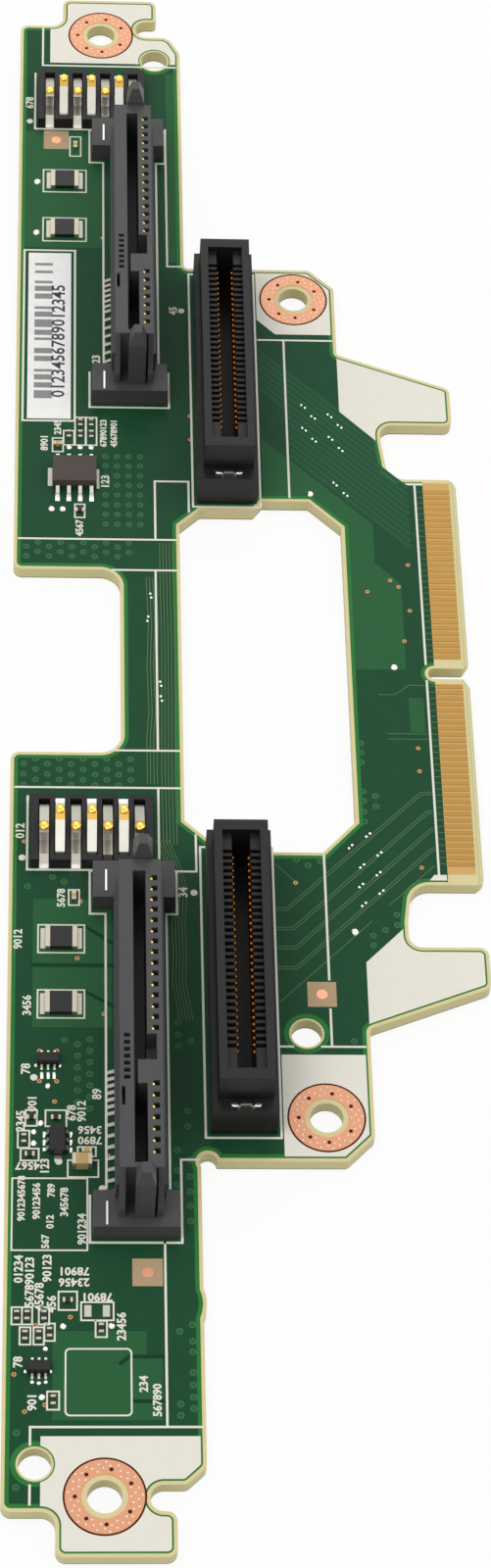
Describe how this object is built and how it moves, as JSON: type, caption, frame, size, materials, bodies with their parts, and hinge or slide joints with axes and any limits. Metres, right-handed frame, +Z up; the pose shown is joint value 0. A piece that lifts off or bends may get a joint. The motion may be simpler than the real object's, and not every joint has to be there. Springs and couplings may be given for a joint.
{
  "type": "drive backplane board",
  "caption": "Cut-out green circuit board with two upright drive sockets, two card sockets, sprung contact blocks and a keyed gold edge connector.",
  "frame": {"origin": "midway between the two end screw holes, on the underside of the board", "axes": "+Z up out of the component side, +Y along the length, +X towards the gold edge contacts"},
  "size_m": [0.05, 0.206, 0.0124],
  "materials": {
    "board": "green solder mask over glass-filled board",
    "gold": "gold plated",
    "copper": "bare copper",
    "tin": "tin plated",
    "grey_plastic": "moulded, satin",
    "black_plastic": "moulded, satin",
    "tan_ceramic": "ceramic",
    "paper": "printed paper label"
  },
  "bodies": {
    "root": {"circuit_board": "board", "edge_contacts": "gold", "screw_pads": "copper", "drive_socket_housing_1": "grey_plastic", "drive_power_contacts_1": "gold", "drive_signal_contacts_1": "gold", "second_port_contacts_1": "gold", "socket_hold_downs_1": "tin", "solder_tails_1": "tin", "card_socket_housing_1": "black_plastic", "card_contacts_left_1": "gold", "card_contacts_right_1": "gold", "card_clip_1": "tin", "spring_block_housing_1": "grey_plastic", "forward_springs_1": "tin", "backward_springs_1": "tin", "transistor_body_1": "black_plastic", "transistor_leads_1": "tin", "drive_socket_housing_2": "grey_plastic", "drive_power_contacts_2": "gold", "drive_signal_contacts_2": "gold", "second_port_contacts_2": "gold", "socket_hold_downs_2": "tin", "solder_tails_2": "tin", "card_socket_housing_2": "black_plastic", "card_contacts_left_2": "gold", "card_contacts_right_2": "gold", "card_clip_2": "tin", "spring_block_housing_2": "grey_plastic", "forward_springs_2": "tin", "backward_springs_2": "tin", "transistor_body_2": "black_plastic", "transistor_leads_2": "tin", "wide_chip_body": "black_plastic", "wide_chip_leads": "tin", "small_chip_body": "black_plastic", "small_chip_leads": "tin", "power_resistor_bodies": "black_plastic", "power_resistor_terminals": "tin", "chip_resistor_bodies": "black_plastic", "chip_resistor_terminals": "tin", "chip_capacitor_bodies": "tan_ceramic", "chip_capacitor_terminals": "tin", "large_capacitor_bodies": "tan_ceramic", "large_capacitor_terminals": "tin", "label": "paper"}
  },
  "joints": []
}
